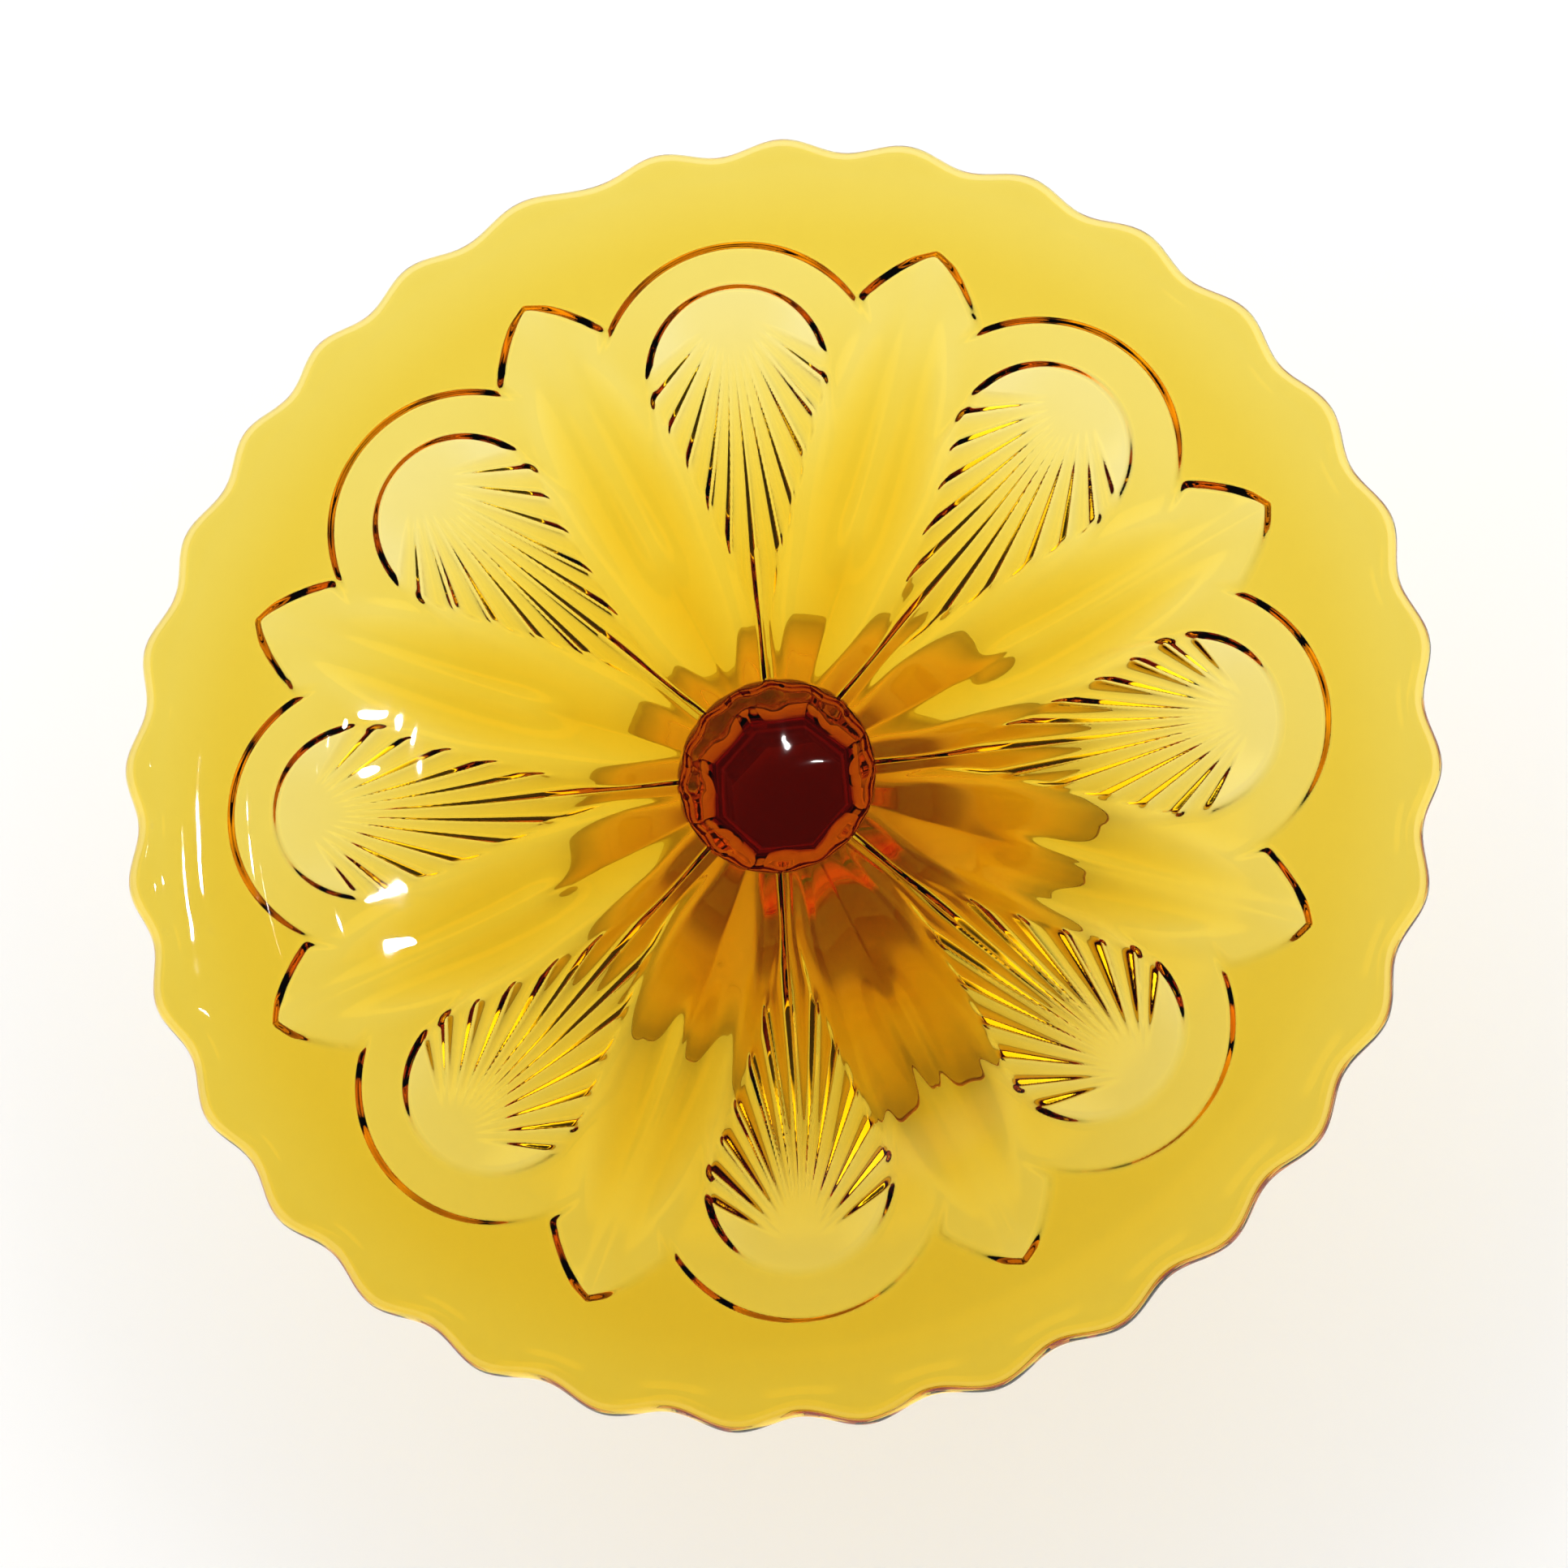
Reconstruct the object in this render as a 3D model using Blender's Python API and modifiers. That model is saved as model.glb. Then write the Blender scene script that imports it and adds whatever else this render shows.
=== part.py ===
"""Footed candy dish of pressed amber glass: a shallow scalloped bowl on an eight-sided stem and a round foot.

Metres, +Z up. The origin is the middle of the foot's underside, on the surface that the dish stands on.
Petals of the moulded rosette lie on +X and every 45 degrees from it, and fans lie half-way between them.
"""

import math

import bmesh
import bpy
from mathutils import Vector

# Whole dish
HEIGHT = 0.062
RIM_RADIUS = 0.0825
JOIN_GAP = 0.0003
SECTORS = 8
TURN_STEPS = 96
MERGE = 0.00001

# Bowl
BOWL_DEPTH = 0.0046
BOWL_FLAT_RADIUS = 0.036
SHELF_RADIUS = 0.069
SHELF_DROP = 0.0006
RIM_WALL = 0.0030
SHELF_WALL = 0.0039
MIDDLE_WALL = 0.0048
LIP_ROUND = 0.0014
TRIM_SPARE = 0.0003
PLATE_RINGS = 9
SCALLOPS = 32
SCALLOP_DEPTH = 0.0018
POINTS_PER_SCALLOP = 6

# Rosette moulded under the bowl: stepped hollows for the fans, with roof-shaped petals between them
ROSETTE_STEP = 0.0009
FAN_STEP = 0.0017
FAN_APEX_RADIUS = 0.0685
FAN_ROUND_POWER = 2.2
FAN_SIDE_ANGLE = math.radians(95)
INNER_ARC_CENTRE = 0.0523
INNER_APEX_RADIUS = 0.0631
INNER_POINT_RADIUS = 0.0230
PETAL_TIP_RADIUS = 0.0680
PETAL_POINT_POWER = 1.4
CUSP_RADIUS = 0.0600
CUSP_ANGLE = math.radians(7.2)
POINTS_PER_ARC = 8
PETAL_HALF_WIDTH = 0.0083
PETAL_SECTOR_SHARE = 0.94
PETAL_TAPER_RADIUS = 0.0552
PETAL_TIP_SHARE = 0.04
PETAL_WALL = 0.0068
PETAL_EDGE = 0.0003
PETAL_TIP_RIDGE = 0.0002
PETAL_STATIONS = 16
PETAL_INNER_RADIUS = 0.0100
COLLAR_RADIUS = 0.0124
COLLAR_WALL = 0.0072

# Stem
STEM_TOP_RADIUS = 0.0120
STEM_RADIUS = 0.0080
STEM_FLARE = 0.0070
STEM_SPREAD = 0.0180
STEM_SPREAD_RADIUS = 0.0110
STEM_BOTTOM = 0.0180
STEM_RINGS = 15

# Foot
FOOT_RADIUS = 0.0330
FOOT_EDGE = 0.0026
REST_RING_OUTER = 0.0310
REST_RING_INNER = 0.0260
FOOT_RISE = 0.0062
FOOT_SLOPE_POWER = 1.3
PANEL_CURVE_POWER = 2.2
FOOT_EDGE_ROUND = 0.0008
FOOT_RINGS = 9
FOOT_HOLLOW = 0.0022
HOLLOW_RINGS = 5

# Heights that every cutter reaches, well past both faces of the plate
CUTTER_LOW = 0.032
CUTTER_HIGH = 0.072

# Glass
AMBER = (0.80, 0.50, 0.06, 1.0)
GLASS_IOR = 1.5


def clear_scene():
    for item in list(bpy.data.objects):
        bpy.data.objects.remove(item, do_unlink=True)


def new_collection(name):
    group = bpy.data.collections.new(name)
    bpy.context.scene.collection.children.link(group)
    return group


def amber_glass(name, roughness):
    """Each sub-part has its own clear amber glass."""
    material = bpy.data.materials.new(name)
    material.use_nodes = True
    shader = material.node_tree.nodes["Principled BSDF"]
    shader.inputs["Base Color"].default_value = AMBER
    shader.inputs["Roughness"].default_value = roughness
    shader.inputs["Metallic"].default_value = 0.0
    shader.inputs["Transmission Weight"].default_value = 1.0
    shader.inputs["IOR"].default_value = GLASS_IOR
    return material


def turned(name, profile, steps, group):
    """Turns a list of (radius, height) points about Z. The profile runs down the outer side."""
    mesh = bpy.data.meshes.new(name)
    points = [(radius, 0.0, height) for radius, height in profile]
    edges = [(i, i + 1) for i in range(len(points) - 1)]
    mesh.from_pydata(points, edges, [])
    item = bpy.data.objects.new(name, mesh)
    group.objects.link(item)
    screw = item.modifiers.new("Turn", "SCREW")
    screw.axis = "Z"
    screw.steps = steps
    screw.render_steps = steps
    screw.use_merge_vertices = True
    screw.merge_threshold = MERGE
    screw.use_smooth_shade = steps > SECTORS
    return item


def prism(name, outline, group):
    """A flat outline of (x, y) points, extruded through the plate, as a mesh."""
    curve = bpy.data.curves.new(name, "CURVE")
    curve.dimensions = "2D"
    curve.fill_mode = "BOTH"
    curve.extrude = (CUTTER_HIGH - CUTTER_LOW) / 2
    spline = curve.splines.new("POLY")
    spline.points.add(len(outline) - 1)
    for point, (x, y) in zip(spline.points, outline):
        point.co = (x, y, 0.0, 1.0)
    spline.use_cyclic_u = True
    drawn = bpy.data.objects.new(name + "_outline", curve)
    group.objects.link(drawn)
    bpy.context.view_layer.update()
    evaluated = drawn.evaluated_get(bpy.context.evaluated_depsgraph_get())
    mesh = bpy.data.meshes.new_from_object(evaluated)
    bpy.data.objects.remove(drawn, do_unlink=True)
    solid = bmesh.new()
    solid.from_mesh(mesh)
    bmesh.ops.remove_doubles(solid, verts=solid.verts, dist=MERGE)
    bmesh.ops.recalc_face_normals(solid, faces=solid.faces)
    solid.to_mesh(mesh)
    solid.free()
    item = bpy.data.objects.new(name, mesh)
    item.location.z = (CUTTER_LOW + CUTTER_HIGH) / 2
    group.objects.link(item)
    return item


def as_cutter(item):
    item.hide_render = True
    item.display_type = "WIRE"
    return item


def combine(item, other, operation):
    step = item.modifiers.new(operation.title() + "_" + other.name, "BOOLEAN")
    step.operation = operation
    step.object = other


def smooth_step(value, start, end):
    t = min(max((value - start) / (end - start), 0.0), 1.0)
    return t * t * (3 - 2 * t)


def bowl_top(radius):
    """Height of the upper surface: a flat middle, a soft rise, then a nearly level shelf out to the rim."""
    rise = (BOWL_DEPTH - SHELF_DROP) * smooth_step(radius, BOWL_FLAT_RADIUS, SHELF_RADIUS)
    lift = SHELF_DROP * smooth_step(radius, SHELF_RADIUS, RIM_RADIUS - LIP_ROUND)
    return HEIGHT - BOWL_DEPTH + rise + lift


def spaced(start, end, count):
    return [start + (end - start) * i / (count - 1) for i in range(count)]


def plate_wall(radius):
    """Thickness of the plain plate, growing from the rim to the middle."""
    to_shelf = smooth_step(radius, SHELF_RADIUS, RIM_RADIUS)
    to_middle = 1 - smooth_step(radius, BOWL_FLAT_RADIUS, SHELF_RADIUS)
    return SHELF_WALL - (SHELF_WALL - RIM_WALL) * to_shelf + (MIDDLE_WALL - SHELF_WALL) * to_middle


def plate_profile():
    radii = [0.0] + spaced(BOWL_FLAT_RADIUS, RIM_RADIUS - LIP_ROUND, PLATE_RINGS)
    top = [(radius, bowl_top(radius)) for radius in radii]
    edge_radius = RIM_RADIUS + TRIM_SPARE
    edge_height = bowl_top(edge_radius) - RIM_WALL / 2
    edge = [(edge_radius, edge_height + RIM_WALL / 4), (edge_radius, edge_height - RIM_WALL / 4)]
    bottom = [(radius, bowl_top(radius) - plate_wall(radius)) for radius in reversed(radii[1:])]
    collar_top = bowl_top(COLLAR_RADIUS) - plate_wall(COLLAR_RADIUS)
    collar_bottom = bowl_top(0.0) - COLLAR_WALL
    collar = [(COLLAR_RADIUS, collar_top), (COLLAR_RADIUS, collar_bottom), (0.0, collar_bottom)]
    return top + edge + bottom + collar


def rosette_cut(radius):
    """How far the rosette is cut into the plate's underside."""
    return ROSETTE_STEP * smooth_step(radius, BOWL_FLAT_RADIUS, FAN_APEX_RADIUS)


def hollow_profile(step, inner_radius, outer_radius):
    """A turned layer cut into the plate's underside, deepest at the outer radius, gone at the inner."""
    radii = spaced(inner_radius, outer_radius, PLATE_RINGS)
    cut = [step * smooth_step(radius, inner_radius, outer_radius) for radius in radii]
    ceiling = [(r, bowl_top(r) - plate_wall(r) + depth) for r, depth in zip(radii, cut)]
    below = HEIGHT - BOWL_DEPTH - 2 * PETAL_WALL
    return ceiling + [(outer_radius, below), (inner_radius, below), ceiling[0]]


def polar(radius, angle):
    return (radius * math.cos(angle), radius * math.sin(angle))


def scalloped_outline():
    count = SCALLOPS * POINTS_PER_SCALLOP
    angles = [2 * math.pi * i / count for i in range(count)]
    dips = [SCALLOP_DEPTH / 2 * (1 + math.cos(SCALLOPS * angle)) for angle in angles]
    return [polar(RIM_RADIUS - dip, angle) for dip, angle in zip(dips, angles)]


def arc_radius(share, end_radius, apex_radius, power):
    """Radius along a lobe, where share runs from -1 at one cusp to 1 at the other."""
    return end_radius + (apex_radius - end_radius) * (1 - abs(share) ** power)


def rosette_outline():
    """Round fan lobes and pointed petal lobes, one after the other, meeting at cusps."""
    half_sector = math.pi / SECTORS
    outline = []
    for sector in range(SECTORS):
        petal_axis = sector * 2 * half_sector
        fan_axis = petal_axis + half_sector
        fan_half = half_sector - CUSP_ANGLE
        for i in range(POINTS_PER_ARC):
            share = -1 + 2 * i / POINTS_PER_ARC
            radius = arc_radius(share, CUSP_RADIUS, PETAL_TIP_RADIUS, PETAL_POINT_POWER)
            outline.append(polar(radius, petal_axis + share * CUSP_ANGLE))
        for i in range(POINTS_PER_ARC):
            share = -1 + 2 * i / POINTS_PER_ARC
            radius = arc_radius(share, CUSP_RADIUS, FAN_APEX_RADIUS, FAN_ROUND_POWER)
            outline.append(polar(radius, fan_axis + share * fan_half))
    return outline


def fan_outline():
    """One fan on +X: a round outer end, then straight sides that run along the petals to a point."""
    reach = INNER_APEX_RADIUS - INNER_ARC_CENTRE
    angles = spaced(-FAN_SIDE_ANGLE, FAN_SIDE_ANGLE, POINTS_PER_ARC + 1)
    arc = [(INNER_ARC_CENTRE + reach * math.cos(a), reach * math.sin(a)) for a in angles]
    return arc + [(INNER_POINT_RADIUS, 0.0)]


def turned_points(points, angle):
    cosine = math.cos(angle)
    sine = math.sin(angle)
    return [(x * cosine - y * sine, x * sine + y * cosine) for x, y in points]


def petal_half_width(radius):
    """Half width: limited by the next petals near the stem, full along the length, then to a point."""
    near_stem = radius * math.tan(math.pi / SECTORS) * PETAL_SECTOR_SHARE
    to_tip = 1 - smooth_step(radius, PETAL_TAPER_RADIUS, PETAL_TIP_RADIUS)
    return min(near_stem, PETAL_HALF_WIDTH) * max(to_tip, PETAL_TIP_SHARE)


def petal_foot_wall(radius):
    """Thickness of the glass at a petal's sides, a small edge more than the rosette around it."""
    return plate_wall(radius) - rosette_cut(radius) + PETAL_EDGE


def petal_ridge_wall(radius):
    """Thickness of the glass along a petal's ridge."""
    to_tip = smooth_step(radius, BOWL_FLAT_RADIUS, PETAL_TIP_RADIUS)
    tip_wall = petal_foot_wall(radius) + PETAL_TIP_RIDGE
    return PETAL_WALL - (PETAL_WALL - tip_wall) * to_tip


def petal_section(radius, angle):
    """A petal's cross-section: two corners inside the wall, then a foot, the ridge and the other foot."""
    along = Vector((math.cos(angle), math.sin(angle), 0.0))
    across = Vector((-math.sin(angle), math.cos(angle), 0.0))
    half_width = petal_half_width(radius)
    inside = bowl_top(radius) - RIM_WALL / 2
    foot = bowl_top(radius) - petal_foot_wall(radius)
    ridge = bowl_top(radius) - petal_ridge_wall(radius)
    upper = [(-half_width, inside), (half_width, inside)]
    roof = [(half_width, foot), (0.0, ridge), (-half_width, foot)]
    spots = [(along * radius + across * side, height) for side, height in upper + roof]
    return [Vector((spot.x, spot.y, height)) for spot, height in spots]


def petals(name, group):
    """Roof-shaped petals, each lofted along its ridge, in one mesh of separate closed bodies."""
    solid = bmesh.new()
    radii = spaced(PETAL_INNER_RADIUS, PETAL_TIP_RADIUS - LIP_ROUND, PETAL_STATIONS)
    for sector in range(SECTORS):
        angle = 2 * math.pi * sector / SECTORS
        rings = [[solid.verts.new(corner) for corner in petal_section(radius, angle)] for radius in radii]
        for near, far in zip(rings, rings[1:]):
            for i in range(len(near)):
                j = (i + 1) % len(near)
                solid.faces.new((near[i], far[i], far[j], near[j]))
        solid.faces.new(rings[0])
        solid.faces.new(reversed(rings[-1]))
    mesh = bpy.data.meshes.new(name)
    solid.to_mesh(mesh)
    solid.free()
    item = bpy.data.objects.new(name, mesh)
    group.objects.link(item)
    return item


def stem_radius(height, bottom, top):
    """Corner radius of the eight-sided stem: slim in the middle, spreading to the collar and the foot."""
    to_collar = smooth_step(height, top - STEM_FLARE, top)
    to_foot = (1 - smooth_step(height, bottom, bottom + STEM_SPREAD)) ** 2
    flare = (STEM_TOP_RADIUS - STEM_RADIUS) * to_collar
    return STEM_RADIUS + flare + (STEM_SPREAD_RADIUS - STEM_RADIUS) * to_foot


def stem_profile():
    top = bowl_top(0.0) - COLLAR_WALL - JOIN_GAP
    heights = spaced(top, STEM_BOTTOM, STEM_RINGS)
    side = [(stem_radius(height, STEM_BOTTOM, top), height) for height in heights]
    return [(0.0, top)] + side + [(0.0, STEM_BOTTOM)]


def foot_shoulder(radius):
    """Height of the round foot's upper surface, from the thin edge up to the panels."""
    inward = (FOOT_RADIUS - radius) / FOOT_RADIUS
    return FOOT_EDGE + FOOT_RISE * inward ** FOOT_SLOPE_POWER


def foot_base_profile():
    radii = spaced(0.0, FOOT_RADIUS - FOOT_EDGE_ROUND, FOOT_RINGS)
    top = [(radius, foot_shoulder(radius)) for radius in radii]
    edge = [
        (FOOT_RADIUS, FOOT_EDGE - FOOT_EDGE_ROUND),
        (FOOT_RADIUS, FOOT_EDGE_ROUND),
        (REST_RING_OUTER, 0.0),
    ]
    turns = spaced(0.0, math.pi / 2, HOLLOW_RINGS)
    hollow = [(REST_RING_INNER * math.cos(turn), FOOT_HOLLOW * math.sin(turn)) for turn in turns]
    hollow[-1] = (0.0, FOOT_HOLLOW)
    return top + edge + hollow


def foot_panels_profile():
    """The eight-sided trumpet that carries the stem's panels down onto the round foot."""
    top = STEM_BOTTOM - JOIN_GAP
    low = foot_shoulder(REST_RING_INNER) - JOIN_GAP
    side = []
    for share in spaced(0.0, 1.0, FOOT_RINGS):
        radius = STEM_SPREAD_RADIUS + (REST_RING_INNER - STEM_SPREAD_RADIUS) * share
        side.append((radius, low + (top - low) * (1 - share) ** PANEL_CURVE_POWER))
    return [(0.0, top)] + side + [(0.0, low)]


def make_bowl(parts, cutters):
    bowl = turned("bowl", plate_profile(), TURN_STEPS, parts)
    rim_trim = as_cutter(prism("rim_trim", scalloped_outline(), cutters))
    rosette_layer = hollow_profile(ROSETTE_STEP, BOWL_FLAT_RADIUS, FAN_APEX_RADIUS)
    rosette = as_cutter(turned("rosette_hollow", rosette_layer, TURN_STEPS, cutters))
    rosette_trim = as_cutter(prism("rosette_trim", rosette_outline(), cutters))
    combine(rosette, rosette_trim, "INTERSECT")
    combine(bowl, rim_trim, "INTERSECT")
    combine(bowl, rosette, "DIFFERENCE")
    fan_layer = hollow_profile(FAN_STEP, INNER_POINT_RADIUS, INNER_APEX_RADIUS)
    for sector in range(SECTORS):
        angle = 2 * math.pi * (sector + 0.5) / SECTORS
        outline = turned_points(fan_outline(), angle)
        fan = as_cutter(turned(f"fan_hollow_{sector + 1}", fan_layer, TURN_STEPS, cutters))
        fan_trim = as_cutter(prism(f"fan_trim_{sector + 1}", outline, cutters))
        combine(fan, fan_trim, "INTERSECT")
        combine(bowl, fan, "DIFFERENCE")
    combine(bowl, as_cutter(petals("petal_roofs", cutters)), "UNION")
    bowl.data.materials.append(amber_glass("bowl_glass", 0.03))
    return bowl


def make_stem(parts):
    stem = turned("stem", stem_profile(), SECTORS, parts)
    stem.data.materials.append(amber_glass("stem_glass", 0.04))
    return stem


def make_foot(parts, cutters):
    foot = turned("foot", foot_base_profile(), TURN_STEPS, parts)
    panels = as_cutter(turned("foot_panels", foot_panels_profile(), SECTORS, cutters))
    combine(foot, panels, "UNION")
    foot.data.materials.append(amber_glass("foot_glass", 0.05))
    return foot


def main():
    clear_scene()
    parts = new_collection("candy_dish")
    cutters = new_collection("cutters")
    stand = bpy.data.objects.new("candy_dish_origin", None)
    parts.objects.link(stand)
    for piece in (make_bowl(parts, cutters), make_stem(parts), make_foot(parts, cutters)):
        piece.parent = stand


main()
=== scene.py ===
"""Looks of an amber pressed-glass footed dish: one closed body of glass, a floor, soft light and a camera."""

import math

import bpy
import numpy as np
from mathutils import Matrix, Vector


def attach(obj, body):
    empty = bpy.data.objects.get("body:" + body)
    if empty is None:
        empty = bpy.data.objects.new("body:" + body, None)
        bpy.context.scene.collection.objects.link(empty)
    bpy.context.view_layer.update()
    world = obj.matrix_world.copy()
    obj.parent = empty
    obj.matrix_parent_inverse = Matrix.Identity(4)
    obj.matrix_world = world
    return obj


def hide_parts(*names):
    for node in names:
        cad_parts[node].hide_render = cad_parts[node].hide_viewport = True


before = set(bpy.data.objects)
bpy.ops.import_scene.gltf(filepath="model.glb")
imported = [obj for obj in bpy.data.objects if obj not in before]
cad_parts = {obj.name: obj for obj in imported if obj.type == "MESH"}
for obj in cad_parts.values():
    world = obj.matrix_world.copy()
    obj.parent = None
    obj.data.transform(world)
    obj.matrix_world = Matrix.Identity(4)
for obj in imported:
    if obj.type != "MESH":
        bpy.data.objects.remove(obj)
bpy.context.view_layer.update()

MM = 0.001

# Whole dish. Lengths are in metres, the scallops' drift and its flaw in degrees. The rim is trimmed
# to stay inside the CAD's box, and the upper surface has slight waves
HEIGHT = 0.062
RIM_RADIUS = 0.0825
RIM_TRIM = 0.00035
WAVE_HEIGHT = 0.00005
WAVE_START = 0.02
WAVE_FADE = (0.074, 0.081)
BOWL_DEPTH = 0.0046
BOWL_FLAT_RADIUS = 0.036
SHELF_RADIUS = 0.069
SHELF_DROP = 0.0006
SECTOR = math.pi / 4
SCALLOPS = 32
SCALLOP_DEPTH = 0.0018
SCALLOP_BLEND = 0.0060
RIM_FLAW_DEGREES = 77.0
RIM_DRIFT_AT = (0, 8, 50, 100, 140, 190, 235, 280, 325, 360)
RIM_DRIFT = (0.8, 2.3, 1.2, -0.35, -0.9, -0.77, -0.45, -0.75, 0.2, 0.8)

# Rim's rounded edge
LIP_REACH = 0.0015
LIP_RINGS = 11

# Bead under the rim: its height in millimetres, its place and width as shares of the rim's radius
RIM_BEAD = 0.10
RIM_BEAD_AT = 0.970
RIM_BEAD_WIDTH = 0.007

# Glass of the bowl: thicknesses in millimetres at shares of the rim's radius, and one side that is thicker
PLAIN_GLASS = ((0.70, 0.86, 0.90, 0.95, 1.0), (3.70, 3.62, 3.32, 3.02, 2.9))
CRESCENT_GLASS = ((0.58, 0.66, 0.76, 0.83), (3.5, 3.1, 2.6, 2.45))
FAN_GLASS = ((0.15, 0.3, 0.4, 0.5, 0.6, 0.72, 0.77), (6.2, 5.2, 4.4, 3.5, 2.6, 1.85, 1.75))
RIDGE_GLASS = ((0.36, 0.5, 0.6, 0.72, 0.82, 0.84), (6.4, 6.1, 5.2, 3.8, 3.0, 2.8))
THICK_SIDE = math.radians(-128)
THICK_SIDE_EXTRA = 1.2
THICK_SIDE_FROM = (0.30, 0.60)

# Rosette under the bowl. Lengths are shares of the rim's radius, thicknesses are in millimetres
OUTER_ARC_CENTRE = 0.615
OUTER_ARC_RADIUS = 0.219
OUTER_WALL = 0.020
INNER_ARC_CENTRE = 0.628
INNER_ARC_RADIUS = 0.138
INNER_WALL = 0.021
CUSP_RADIUS = 0.70
ROSETTE_DRIFT_AT = (10, 62, 118, 195)
ROSETTE_DRIFT = (0.0, 1.1, 1.0, 0.0)
PETAL_SHOULDER = 0.74
PETAL_BODY = ((0.10, 0.24, 0.42, 0.66, 0.74), (0.038, 0.084, 0.101, 0.101, 0.0935))
PETAL_POINT = ((0.74, 0.765, 0.79, 0.812, 0.828, 0.84, 0.90), (0.0935, 0.08, 0.061, 0.041, 0.022, 0.0, -0.10))
PETAL_SLANT = 0.33
PETAL_SLANT_AT = (0.73, 0.77)
PETAL_WALL = 0.021
PETAL_SIDE = 0.050
PETAL_SIDE_AT = (0.76, 0.70)
PETAL_SIDE_PROUD = 0.004
PETAL_SLOPE = math.tan(math.radians(19))
PETAL_RIDGE_ROUND = 0.0025
PETAL_THINNEST = 2.5
PETAL_FOLD = 0.3
PETAL_CHANNEL = 0.26
PETAL_CHANNEL_WIDTH = 0.023
PETAL_CHANNEL_FROM = (0.30, 0.42)
FOCAL_POINT = 0.735
FLUTE_ANGLES = (0.0, 5.9, 12.1, 21.1, 32.1, 45.0, 57.7)
FLUTE_STEEPNESS = 0.34
FLUTE_DEEPEST = 1.15
FLUTE_LEVEL = 0.6
FLUTE_FADE_IN = (0.03, 0.12)
FLUTE_END = (-0.004, 0.008)

# Stem and foot, in metres. The flats fade in and out between two heights, negative as they run downwards
COLLAR_SHARE = 0.150
COLLAR_SCALLOPS = 16
COLLAR_SCALLOP_DEPTH = 0.018
COLLAR_LOWEST = 0.03
STEM_HEIGHTS = (0.0060, 0.0072, 0.0095, 0.0130, 0.0180, 0.0240, 0.0300, 0.0360, 0.0435, 0.0480, 0.0500)
STEM_RADII_MM = (26.5, 24.0, 19.5, 15.0, 11.3, 9.2, 8.3, 8.0, 8.4, 10.4, 11.9)
STEM_RINGS = (0.0500, 0.0180, 60)
FLARE_RINGS = (0.0175, 0.0060, 30)
FLATS_START = (-0.0495, -0.0450)
FLATS_END = (-0.0095, -0.0060)
FOOT_SLOPE = ((0.0280, 0.0052), (0.0295, 0.0043), (0.0310, 0.0034), (0.0320, 0.0028))
FOOT_EDGE_RADIUS = 0.0320
FOOT_EDGE_HEIGHT = 0.0014
FOOT_EDGE_ROUND = (0.0010, 0.0013)
REST_RING_INNER = 0.0260
REST_RING_OUTER = 0.0310
FOOT_HOLLOW = 0.0022

# Mesh: how many points each ring has, and where the rings lie, as shares of the rim's radius
FINE = 1536
MEDIUM = 768
COARSE = 384
FIRST_RING_RADIUS = 0.0008
TOP_RINGS = 60
FLANGE_RINGS = (0.875, 26)
ROSETTE_RINGS = (0.872, 0.36, 210)
MIDDLE_RINGS = (0.355, 60)

# Glass: its colour comes from its depth
GLASS_IOR = 1.5
GLASS_COLOUR = (0.953, 0.854, 0.029, 1.0)
GLASS_DENSITY = 700.0
CORD_TINTS = ((0.35, (0.995, 0.975, 0.92, 1.0)), (0.65, (1.0, 0.99, 0.96, 1.0)))
HAZE = 0.035
RIPPLE_STRENGTH = 0.25
RIPPLE_HEIGHT = 0.00012
LIGHT_BOUNCES = 18

# Floor: it glows evenly a little, as on a light table, and more in a soft ring under the foot: a painted pool
# of light that brightens the foot seen through the glass
FLOOR_SIZE = 6.0
FLOOR_GAP = 0.0002
FLOOR_GLOW = 0.20
PAINTED_LIGHT_RING_UNDER_FOOT = ((0.010, 0.20), (0.018, 0.62), (0.025, 0.62), (0.033, 0.20))

# Light tent: levels at the upward part of each direction, and its strength on the dim and the bright side
WORLD_STOPS = ((0.03, 0.25), (0.25, 0.70), (0.45, 1.0), (0.79, 1.0), (0.86, 0.03))
WORLD_GLOW = (0.35, 3.05)
WINDOW_SIDE = (-0.1, 0.99, 0.0)

# Lamps. Each highlight has its place, right and up in the picture as shares of the rim's radius,
# its lamp's width and depth in metres, and the lamp's turn in degrees. The steps measure the surface's slope
LAMP_DISTANCE = 1.2
LAMP_SPREAD = math.radians(1.0)
LAMP_GLOW = 0.02
STEP_OUT = 0.0001
STEP_ROUND = 0.002
HIGHLIGHTS = (
    (-0.868, -0.120, 0.010, 0.010, 0),
    (-0.828, -0.124, 0.010, 0.009, 0),
    (-0.872, -0.245, 0.004, 0.006, 0),
    (-0.602, 0.092, 0.012, 0.005, 0),
    (-0.572, 0.084, 0.010, 0.006, -20),
    (-0.550, 0.062, 0.007, 0.007, -60),
    (-0.540, 0.022, 0.008, 0.006, 0),
    (-0.615, 0.005, 0.006, 0.006, 0),
    (-0.610, -0.185, 0.012, 0.004, 0),
    (-0.650, -0.235, 0.004, 0.008, 0),
    (-0.565, -0.270, 0.011, 0.006, 0),
    (0.020, 0.036, 0.005, 0.002, 20),
)

# Camera: nearly overhead, leaning towards the lower right of the picture
CAMERA_TILT = math.radians(16.8)
CAMERA_LEAN = math.radians(-58.0)
DISH_TURN = math.radians(-27.3)
CAMERA_DISTANCE = 6.34 * RIM_RADIUS
CAMERA_LENS = 97.6
CAMERA_SHIFT = (0.0114, -0.0161)


def smooth(value, low, high):
    t = np.clip((value - low) / (high - low), 0.0, 1.0)
    return t * t * (3 - 2 * t)


def softer_max(a, b, blend):
    return 0.5 * (a + b + np.sqrt((a - b) ** 2 + blend**2))


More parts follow.
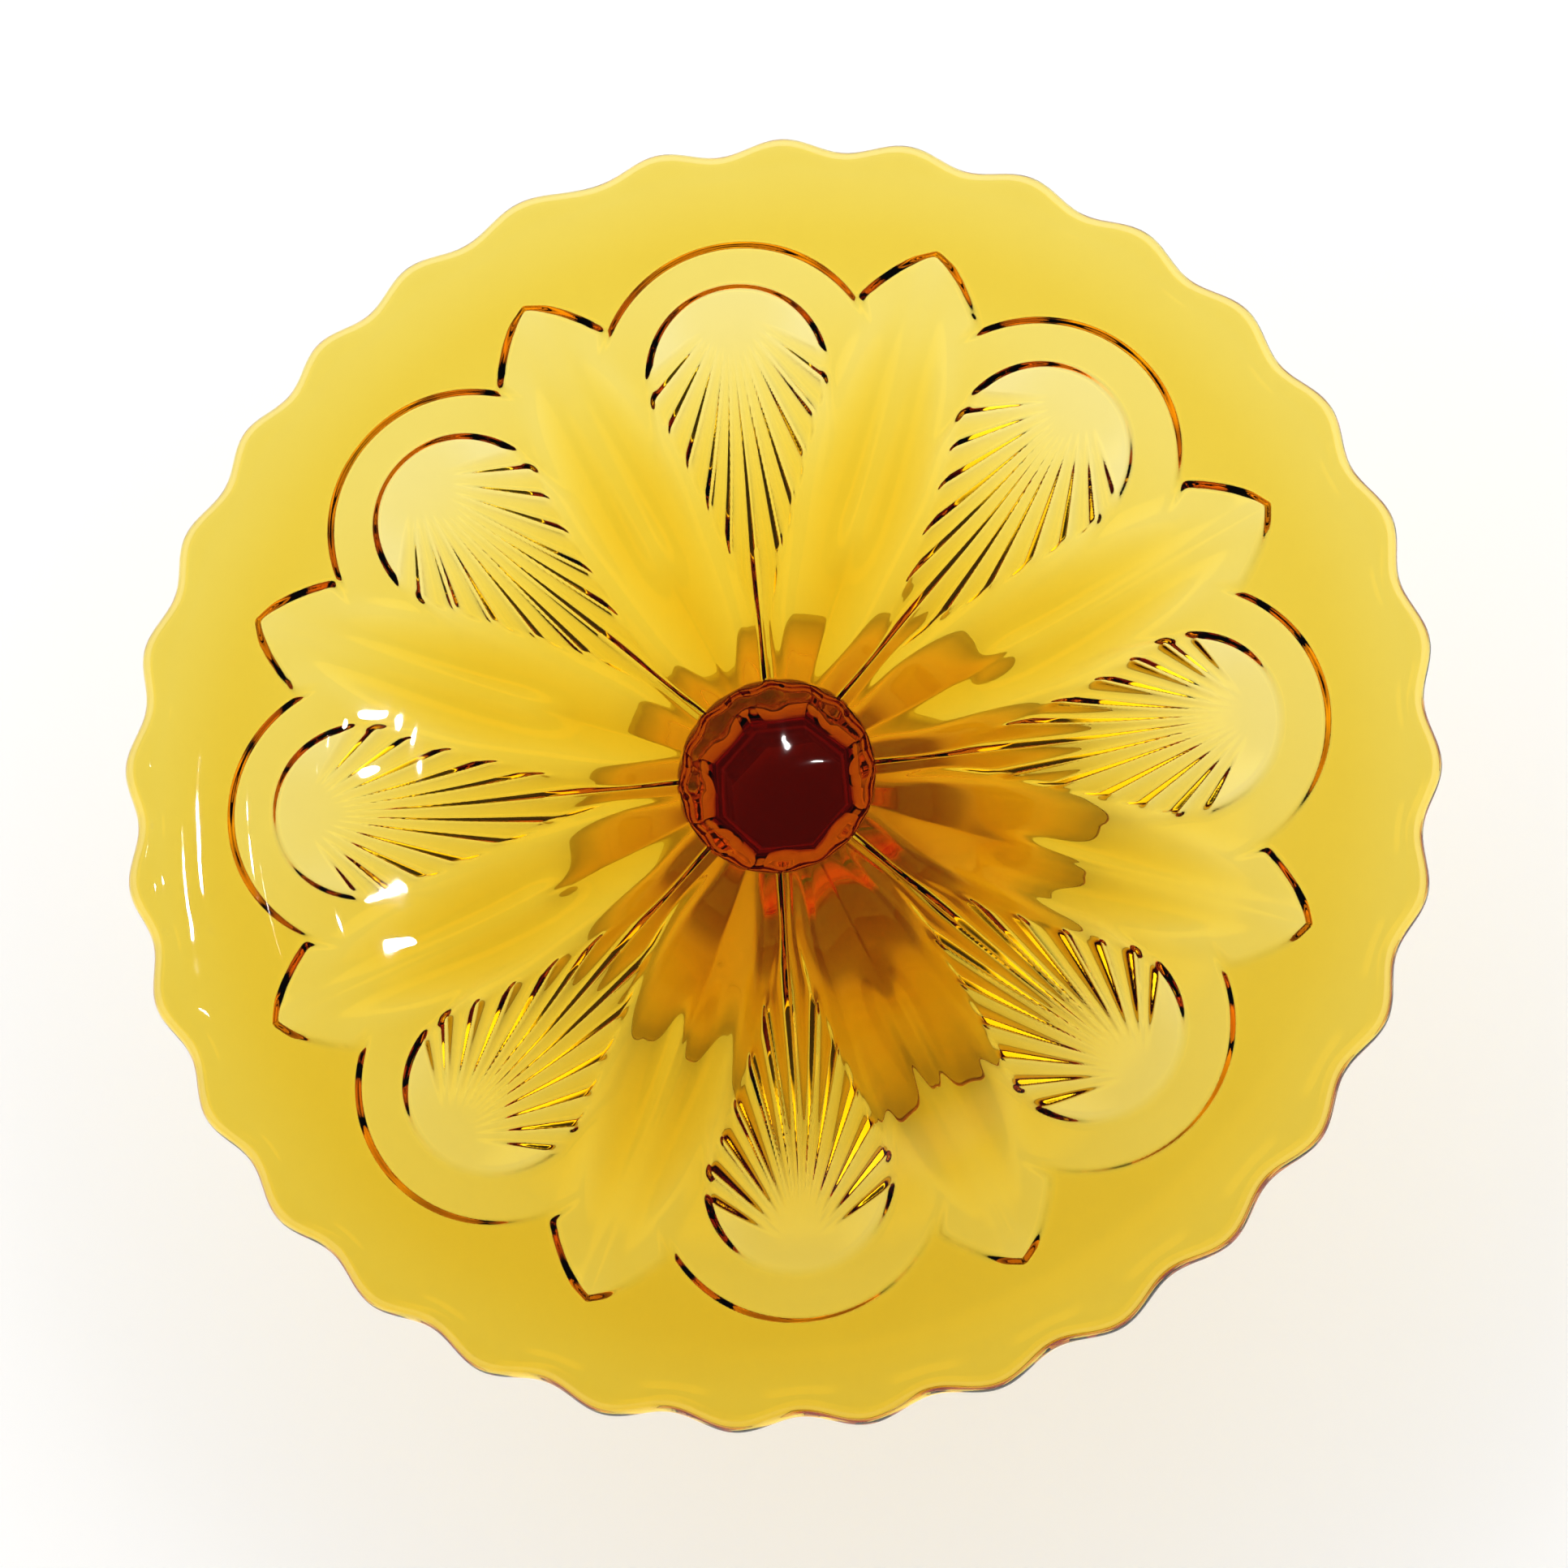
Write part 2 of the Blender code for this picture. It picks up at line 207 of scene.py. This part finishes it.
def curve(value, knots, levels):
    """A smooth curve through the levels at the knots, and level beyond the two ends."""
    knots = np.array(knots, float)
    levels = np.array(levels, float)
    slopes = np.gradient(levels, knots)
    slopes[0] = slopes[-1] = 0.0
    value = np.asarray(value, float)
    i = np.clip(np.searchsorted(knots, value) - 1, 0, len(knots) - 2)
    span = knots[i + 1] - knots[i]
    t = np.clip((value - knots[i]) / span, 0.0, 1.0)
    near = (2 * t**3 - 3 * t**2 + 1) * levels[i] + (t**3 - 2 * t**2 + t) * span * slopes[i]
    far = (3 * t**2 - 2 * t**3) * levels[i + 1] + (t**3 - t**2) * span * slopes[i + 1]
    return near + far


def angles(count):
    return np.arange(count) * (2 * math.pi / count)


def top_height(radius, azimuth):
    """The fire-polished upper surface: a flat middle, a soft rise, a nearly level shelf, and slight waves."""
    rise = (BOWL_DEPTH - SHELF_DROP) * smooth(radius, BOWL_FLAT_RADIUS, SHELF_RADIUS)
    lift = SHELF_DROP * smooth(radius, SHELF_RADIUS, RIM_RADIUS - LIP_REACH)
    wave = np.sin(3 * azimuth + 40 * radius) * np.sin(150 * radius + 0.6)
    wave = wave + 0.6 * np.sin(5 * azimuth - 90 * radius + 1.0)
    fade = smooth(radius, 0.0, WAVE_START) * (1 - smooth(radius, *WAVE_FADE))
    return HEIGHT - BOWL_DEPTH + rise + lift - WAVE_HEIGHT * fade * (1 + wave)


def inside_petal(along, across):
    """Distance inside a petal's outline, negative outside it, as a share of the rim's radius."""
    half_width = np.where(along < PETAL_SHOULDER, curve(along, *PETAL_BODY), curve(along, *PETAL_POINT))
    slant = 1 - PETAL_SLANT * smooth(along, *PETAL_SLANT_AT)
    return (half_width - across) * slant


def flutes(x, y):
    """Ribs that spread from the fan's focal point, with V-shaped grooves between, deeper further out."""
    inward = FOCAL_POINT - x
    reach = np.hypot(inward, y)
    turn = np.degrees(np.arctan2(y, inward))
    steps = np.arange(len(FLUTE_ANGLES))
    phase = np.interp(turn, FLUTE_ANGLES, steps)
    middles = (np.array(FLUTE_ANGLES[1:]) + np.array(FLUTE_ANGLES[:-1])) / 2
    gap = np.interp(turn, middles, np.diff(FLUTE_ANGLES))
    width = reach * np.radians(gap) * RIM_RADIUS / MM
    depth = np.minimum(FLUTE_STEEPNESS * width, FLUTE_DEEPEST) * smooth(reach, *FLUTE_FADE_IN)
    return depth * (np.abs(np.sin(math.pi * phase)) - FLUTE_LEVEL)


def thickness(share, azimuth):
    """Thickness of the bowl's glass in metres, at a radius given as a share of the rim's."""
    toward = 0.5 + 0.5 * np.cos(azimuth - THICK_SIDE)
    extra = THICK_SIDE_EXTRA * toward**2 * smooth(share, *THICK_SIDE_FROM)
    azimuth = azimuth - np.radians(curve(np.degrees(azimuth), ROSETTE_DRIFT_AT, ROSETTE_DRIFT))
    off_petal = np.abs((azimuth + SECTOR / 2) % SECTOR - SECTOR / 2)
    off_fan = np.abs(azimuth % SECTOR - SECTOR / 2)
    along, across = share * np.cos(off_petal), share * np.sin(off_petal)
    x, y = share * np.cos(off_fan), share * np.sin(off_fan)

    plain = curve(share, *PLAIN_GLASS)
    plain = plain + RIM_BEAD * np.exp(-(((share - RIM_BEAD_AT) / RIM_BEAD_WIDTH) ** 2))
    in_outer = np.maximum(OUTER_ARC_RADIUS - np.hypot(x - OUTER_ARC_CENTRE, y), CUSP_RADIUS - share)
    crescent = curve(share, *CRESCENT_GLASS)
    level = plain + (crescent - plain) * smooth(in_outer, -OUTER_WALL / 2, OUTER_WALL / 2)

    in_arc = INNER_ARC_RADIUS - np.hypot(x - INNER_ARC_CENTRE, y)
    in_inner = np.where(x > INNER_ARC_CENTRE, in_arc, INNER_ARC_RADIUS - y)
    in_fan = smooth(in_inner, -INNER_WALL / 2, INNER_WALL / 2)

    in_petal = inside_petal(along, across)
    fluted = curve(share, *FAN_GLASS) + flutes(x, y) * smooth(-in_petal, *FLUTE_END)
    level = level + (fluted - level) * in_fan

    ridge = curve(along, *RIDGE_GLASS)
    rounded = np.sqrt(across**2 + PETAL_RIDGE_ROUND**2) - PETAL_RIDGE_ROUND
    roof = softer_max(ridge - PETAL_SLOPE * rounded * RIM_RADIUS / MM, PETAL_THINNEST, PETAL_FOLD)
    channel = PETAL_CHANNEL * ridge * np.exp(-((across / PETAL_CHANNEL_WIDTH) ** 2))
    roof = roof - channel * smooth(along, *PETAL_CHANNEL_FROM)
    side = smooth(along, *PETAL_SIDE_AT)
    wall = PETAL_WALL + (PETAL_SIDE - PETAL_WALL) * side
    wall_start = -PETAL_WALL / 2 * (1 - side) - PETAL_SIDE_PROUD * side
    level = level + (roof - level) * smooth(in_petal, wall_start, wall - PETAL_WALL / 2)
    return (level + extra) * MM


def scallop_dip(azimuth):
    """The scallops drift a degree or two round the rim and jump back at one flaw in it."""
    past_flaw = (np.degrees(azimuth) - RIM_FLAW_DEGREES) % 360
    drift = np.radians(curve(past_flaw, RIM_DRIFT_AT, RIM_DRIFT))
    return SCALLOP_DEPTH / 2 * (1 + np.cos(SCALLOPS * (azimuth - drift)))


def ring(radius, height, azimuth):
    return np.stack([radius * np.cos(azimuth), radius * np.sin(azimuth), height + 0 * azimuth], axis=1)


def bowl_radius(radius, azimuth):
    """The radius of a ring of the bowl, drawn in to the scallops as it nears the rim."""
    near_rim = smooth(radius, RIM_RADIUS - SCALLOP_BLEND, RIM_RADIUS - LIP_REACH)
    return radius - (scallop_dip(azimuth) + RIM_TRIM) * near_rim


def top_rings():
    azimuth = angles(MEDIUM)
    radii = np.linspace(FIRST_RING_RADIUS, RIM_RADIUS - LIP_REACH, TOP_RINGS)
    return [ring(bowl_radius(r, azimuth), top_height(r, azimuth), azimuth) for r in radii]


def lip_rings():
    """The rounded edge of the rim, from the upper surface to the lower one."""
    azimuth = angles(MEDIUM)
    inner = RIM_RADIUS - LIP_REACH
    top = top_height(inner, azimuth)
    wall = thickness(inner / RIM_RADIUS, azimuth)
    rings = []
    for turn in np.linspace(0, math.pi, LIP_RINGS + 2)[1:-1]:
        radius = bowl_radius(inner, azimuth) + LIP_REACH * math.sin(turn)
        rings.append(ring(radius, top - wall / 2 + wall / 2 * math.cos(turn), azimuth))
    return rings


def under_rings():
    """The moulded underside, from the rim in to the collar round the stem."""
    rings = []
    flange = np.linspace((RIM_RADIUS - LIP_REACH) / RIM_RADIUS, *FLANGE_RINGS)
    rosette = np.linspace(*ROSETTE_RINGS)
    middle = np.linspace(MIDDLE_RINGS[0], COLLAR_SHARE, MIDDLE_RINGS[1])
    for shares, count in ((flange, MEDIUM), (rosette, FINE), (middle, MEDIUM)):
        azimuth = angles(count)
        for share in shares:
            radius = share * RIM_RADIUS
            height = top_height(radius, azimuth) - thickness(share, azimuth)
            rings.append(ring(bowl_radius(radius, azimuth), height, azimuth))
    return rings


def eight_sided(azimuth, weight):
    """Share of the corner radius at each azimuth: 1 at the corners, on the petals, less on the flats."""
    from_corner = azimuth % SECTOR
    polygon = math.cos(SECTOR / 2) / np.cos(from_corner - SECTOR / 2)
    return 1 + (polygon - 1) * weight


def stem_rings():
    """The stem, from a sharp collar under the bowl down to the panelled foot."""
    azimuth = angles(COARSE)
    heights = np.concatenate([np.linspace(*STEM_RINGS), np.linspace(*FLARE_RINGS)])
    rings = []
    for height in heights:
        radius = float(curve(height, STEM_HEIGHTS, STEM_RADII_MM)) * MM
        facet = float(smooth(-height, *FLATS_START) * (1 - smooth(-height, *FLATS_END)))
        tooth = COLLAR_SCALLOP_DEPTH * (1 - facet) * (height > COLLAR_LOWEST)
        teeth = 1 + tooth * np.cos(COLLAR_SCALLOPS * azimuth)
        rings.append(ring(radius * eight_sided(azimuth, facet) * teeth, height, azimuth))
    return rings


def foot_rings():
    """The foot's plain border, its rounded edge, the flat ring it rests on and the hollow under it."""
    azimuth = angles(COARSE)
    out, down = FOOT_EDGE_ROUND
    rings = [ring(radius, height, azimuth) for radius, height in FOOT_SLOPE]
    for turn in np.linspace(60, -90, 9):
        lean = math.radians(turn)
        radius = FOOT_EDGE_RADIUS + out * math.cos(lean)
        rings.append(ring(radius, FOOT_EDGE_HEIGHT + down * math.sin(lean), azimuth))
    rings.append(ring(REST_RING_OUTER, 0.0, azimuth))
    rings.append(ring(REST_RING_INNER, 0.0, azimuth))
    for turn in np.linspace(6, 88, 16):
        lean = math.radians(turn)
        rings.append(ring(REST_RING_INNER * math.cos(lean), FOOT_HOLLOW * math.sin(lean), azimuth))
    return rings


def stitch(start_a, count_a, start_b, count_b):
    """Faces between two rings whose point counts are equal, or one twice the other."""
    few = np.arange(min(count_a, count_b))
    step = np.roll(few, -1)
    if count_a == count_b:
        return np.stack([start_a + few, start_b + few, start_b + step, start_a + step], axis=1).tolist()
    if count_a > count_b:
        first, middle, last = start_a + 2 * few, start_a + 2 * few + 1, start_a + 2 * step
        near, far = start_b + few, start_b + step
        sides = [(first, near, middle), (middle, near, far), (middle, far, last)]
    else:
        first, middle, last = start_b + 2 * few, start_b + 2 * few + 1, start_b + 2 * step
        near, far = start_a + few, start_a + step
        sides = [(near, first, middle), (near, middle, far), (far, middle, last)]
    return np.concatenate([np.stack(side, axis=1) for side in sides]).tolist()


def body_of_rings(name, rings, top_point, bottom_point):
    """One closed mesh from a pole, through each ring, to the other pole."""
    starts = np.cumsum([1] + [len(r) for r in rings])
    points = np.concatenate([np.array([top_point])] + rings + [np.array([bottom_point])])
    faces = []
    first = np.arange(len(rings[0])) + 1
    faces += np.stack([0 * first, first, np.roll(first, -1)], axis=1).tolist()
    for i in range(len(rings) - 1):
        faces += stitch(starts[i], len(rings[i]), starts[i + 1], len(rings[i + 1]))
    last = np.arange(len(rings[-1])) + starts[-2]
    faces += np.stack([last, 0 * last + starts[-1], np.roll(last, -1)], axis=1).tolist()
    mesh = bpy.data.meshes.new(name)
    mesh.from_pydata(points.tolist(), [], faces)
    mesh.shade_smooth()
    item = bpy.data.objects.new(name, mesh)
    bpy.context.scene.collection.objects.link(item)
    return item


def node(tree, kind, **values):
    made = tree.nodes.new(kind)
    for key, value in values.items():
        made.inputs[key.replace("_", " ")].default_value = value
    return made


def amber_glass():
    """Clear glass coloured through its depth, with faint cords in it and a softly uneven polish."""
    material = bpy.data.materials.new("amber_glass")
    material.use_nodes = True
    tree = material.node_tree
    shader = tree.nodes["Principled BSDF"]
    output = tree.nodes["Material Output"]
    shader.inputs["Transmission Weight"].default_value = 1.0
    shader.inputs["IOR"].default_value = GLASS_IOR
    place = tree.nodes.new("ShaderNodeTexCoord")

    cords = node(tree, "ShaderNodeTexNoise", Scale=45.0, Detail=3.0, Roughness=0.5, Distortion=1.2)
    tint = tree.nodes.new("ShaderNodeValToRGB")
    for element, (position, colour) in zip(tint.color_ramp.elements, CORD_TINTS):
        element.position = position
        element.color = colour
    tree.links.new(place.outputs["Object"], cords.inputs["Vector"])
    tree.links.new(cords.outputs["Fac"], tint.inputs["Fac"])
    tree.links.new(tint.outputs["Color"], shader.inputs["Base Color"])

    polish = node(tree, "ShaderNodeTexNoise", Scale=160.0, Detail=4.0, Roughness=0.55)
    haze = node(tree, "ShaderNodeMapRange", From_Min=0.3, From_Max=0.8, To_Min=0.0, To_Max=HAZE)
    tree.links.new(place.outputs["Object"], polish.inputs["Vector"])
    tree.links.new(polish.outputs["Fac"], haze.inputs["Value"])
    tree.links.new(haze.outputs["Result"], shader.inputs["Roughness"])

    ripple = node(tree, "ShaderNodeTexNoise", Scale=70.0, Detail=2.0, Roughness=0.45)
    bump = node(tree, "ShaderNodeBump", Strength=RIPPLE_STRENGTH, Distance=RIPPLE_HEIGHT)
    tree.links.new(place.outputs["Object"], ripple.inputs["Vector"])
    tree.links.new(ripple.outputs["Fac"], bump.inputs["Height"])
    tree.links.new(bump.outputs["Normal"], shader.inputs["Normal"])

    depth = node(tree, "ShaderNodeVolumeAbsorption", Color=GLASS_COLOUR, Density=GLASS_DENSITY)
    tree.links.new(depth.outputs["Volume"], output.inputs["Volume"])
    return material


def make_glass():
    rings = top_rings() + lip_rings() + under_rings() + stem_rings() + foot_rings()
    top_point = (0.0, 0.0, HEIGHT - BOWL_DEPTH)
    item = body_of_rings("dish_glass", rings, top_point, (0.0, 0.0, FOOT_HOLLOW))
    item.data.materials.append(amber_glass())
    return item


def make_floor():
    bpy.ops.mesh.primitive_plane_add(size=FLOOR_SIZE, location=(0.0, 0.0, -FLOOR_GAP))
    floor = bpy.context.object
    floor.name = "floor"
    material = bpy.data.materials.new("floor_white")
    material.use_nodes = True
    tree = material.node_tree
    shader = tree.nodes["Principled BSDF"]
    shader.inputs["Base Color"].default_value = (0.90, 0.90, 0.90, 1.0)
    shader.inputs["Roughness"].default_value = 1.0
    shader.inputs["Specular IOR Level"].default_value = 0.0
    shader.inputs["Emission Color"].default_value = (1.0, 1.0, 1.0, 1.0)
    place = tree.nodes.new("ShaderNodeTexCoord")
    reach = tree.nodes.new("ShaderNodeVectorMath")
    reach.operation = "LENGTH"
    glow_with_painted_pool = tree.nodes.new("ShaderNodeFloatCurve")
    points = glow_with_painted_pool.mapping.curves[0].points
    # Even glow of the floor, raised in a ring under the foot: that ring is a painted pool of light, not a
    # lamp
    for at, level in PAINTED_LIGHT_RING_UNDER_FOOT:
        points.new(at, level)
    points[0].location = (0.0, FLOOR_GLOW)
    points[len(points) - 1].location = (1.0, FLOOR_GLOW)
    glow_with_painted_pool.mapping.update()
    tree.links.new(place.outputs["Object"], reach.inputs[0])
    tree.links.new(reach.outputs["Value"], glow_with_painted_pool.inputs["Value"])
    tree.links.new(glow_with_painted_pool.outputs["Value"], shader.inputs["Emission Strength"])
    floor.data.materials.append(material)


def make_world():
    """A light tent: a band all round, brighter on one side, dark overhead and dim at the horizon."""
    world = bpy.data.worlds.new("studio")
    bpy.context.scene.world = world
    world.use_nodes = True
    tree = world.node_tree
    place = tree.nodes.new("ShaderNodeTexCoord")
    split = tree.nodes.new("ShaderNodeSeparateXYZ")
    ramp = tree.nodes.new("ShaderNodeValToRGB")
    while len(ramp.color_ramp.elements) < len(WORLD_STOPS):
        ramp.color_ramp.elements.new(0.5)
    for element, (position, level) in zip(ramp.color_ramp.elements, WORLD_STOPS):
        element.position = position
        element.color = (level, level, level, 1.0)
    tree.links.new(place.outputs["Generated"], split.inputs["Vector"])
    tree.links.new(split.outputs["Z"], ramp.inputs["Fac"])
    bright_side = tree.nodes.new("ShaderNodeVectorMath")
    bright_side.operation = "DOT_PRODUCT"
    bright_side.inputs[1].default_value = in_picture(*WINDOW_SIDE)
    dim, bright = WORLD_GLOW
    weight = node(tree, "ShaderNodeMapRange", From_Min=-1.0, From_Max=1.0, To_Min=dim, To_Max=bright)
    tree.links.new(place.outputs["Generated"], bright_side.inputs[0])
    tree.links.new(bright_side.outputs["Value"], weight.inputs["Value"])
    tree.links.new(ramp.outputs["Color"], tree.nodes["Background"].inputs["Color"])
    tree.links.new(weight.outputs["Result"], tree.nodes["Background"].inputs["Strength"])


def in_picture(right, up, out):
    """A point or direction given as seen in the picture, turned into the dish's own axes."""
    return Matrix.Rotation(DISH_TURN, 3, "Z") @ Vector((right, up, out))


def make_lamp(name, right, up, width, depth, turn, camera):
    """A small gridded lamp, placed where its reflection in the upper surface lands on one spot."""
    spot = in_picture(right * RIM_RADIUS, up * RIM_RADIUS, 0.0)
    radius, azimuth = spot.xy.length, math.atan2(spot.y, spot.x)
    spot.z = float(top_height(radius, azimuth))
    rise = float(top_height(radius + STEP_OUT, azimuth) - top_height(radius - STEP_OUT, azimuth))
    swing = float(top_height(radius, azimuth + STEP_ROUND) - top_height(radius, azimuth - STEP_ROUND))
    rise, swing = rise / (2 * STEP_OUT), swing / (2 * STEP_ROUND * radius)
    outward = Vector((math.cos(azimuth), math.sin(azimuth), 0.0))
    sideways = Vector((-outward.y, outward.x, 0.0))
    normal = (Vector((0.0, 0.0, 1.0)) - rise * outward - swing * sideways).normalized()
    view = (camera.matrix_world.translation - spot).normalized()
    towards = 2 * normal.dot(view) * normal - view
    data = bpy.data.lights.new(name, "AREA")
    data.shape = "ELLIPSE"
    data.size = width
    data.size_y = depth
    data.spread = LAMP_SPREAD
    data.energy = LAMP_GLOW * width * depth
    lamp = bpy.data.objects.new(name, data)
    across = in_picture(math.cos(turn), math.sin(turn), 0.0)
    across = (across - across.dot(towards) * towards).normalized()
    facing = Matrix((across, towards.cross(across), towards)).transposed().to_4x4()
    lamp.matrix_world = Matrix.Translation(spot + towards * LAMP_DISTANCE) @ facing
    bpy.context.scene.collection.objects.link(lamp)


def make_camera():
    data = bpy.data.cameras.new("camera")
    data.sensor_width = 36.0
    data.lens = CAMERA_LENS
    data.shift_x, data.shift_y = CAMERA_SHIFT
    data.clip_start = 0.01
    camera = bpy.data.objects.new("camera", data)
    lean = Vector((math.cos(CAMERA_LEAN), math.sin(CAMERA_LEAN), 0.0))
    axis = Vector((-lean.y, lean.x, 0.0))
    turn = Matrix.Rotation(DISH_TURN, 4, "Z")
    tilt = Matrix.Rotation(CAMERA_TILT, 4, axis)
    offset = lean * math.sin(CAMERA_TILT) + Vector((0.0, 0.0, math.cos(CAMERA_TILT)))
    place = Matrix.Translation(Vector((0.0, 0.0, HEIGHT)) + offset * CAMERA_DISTANCE)
    camera.matrix_world = turn @ place @ tilt
    bpy.context.scene.collection.objects.link(camera)
    bpy.context.scene.camera = camera
    return camera


def main():
    glass = make_glass()
    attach(glass, "root")
    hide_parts("bowl", "stem", "foot")
    make_floor()
    make_world()
    camera = make_camera()
    for number, (right, up, width, depth, turn) in enumerate(HIGHLIGHTS):
        make_lamp(f"highlight_{number}", right, up, width, depth, math.radians(turn), camera)
    scene = bpy.context.scene
    scene.view_settings.view_transform = "Standard"
    scene.cycles.max_bounces = LIGHT_BOUNCES
    scene.cycles.transmission_bounces = LIGHT_BOUNCES


main()
